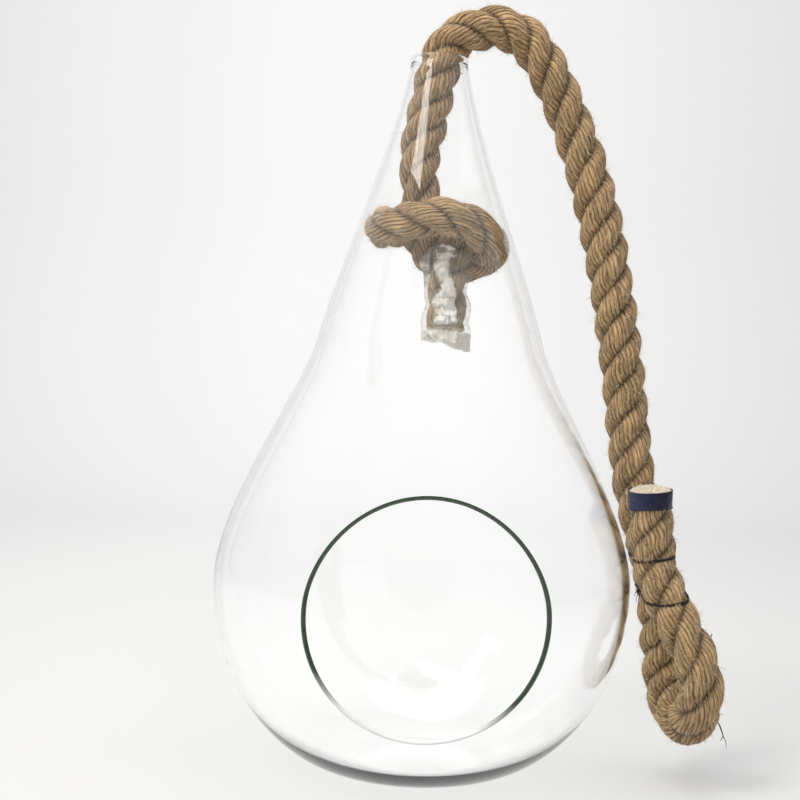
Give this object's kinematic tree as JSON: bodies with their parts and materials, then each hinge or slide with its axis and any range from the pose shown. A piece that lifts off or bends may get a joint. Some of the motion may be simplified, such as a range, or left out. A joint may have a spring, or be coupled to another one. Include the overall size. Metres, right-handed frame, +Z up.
{
  "type": "teardrop terrarium",
  "caption": "Clear blown-glass teardrop vessel with a round front opening, hung by a thick jute rope knotted inside its narrow neck and folded back into a tied eye.",
  "frame": {"origin": "centre of the flat base that the vessel stands on", "axes": "+Z up along the vessel's axis, front opening towards -Y, rope hanging on the +X side"},
  "size_m": [0.2378, 0.1861, 0.3696],
  "materials": {
    "clear_glass": "clear blown glass, smooth, with a green-grey edge where it is cut",
    "jute": "natural jute fibre in three twisted strands, dry and hairy",
    "clear_tape_film": "clear adhesive tape, crinkled and glossy",
    "navy_tape_film": "navy plastic tape, slightly glossy",
    "black_thread": "waxed black thread"
  },
  "bodies": {
    "root": {"glass_vessel": "clear_glass", "jute_rope": "jute", "clear_tape": "clear_tape_film", "navy_tape": "navy_tape_film", "upper_tie": "black_thread", "lower_tie": "black_thread"}
  },
  "joints": []
}
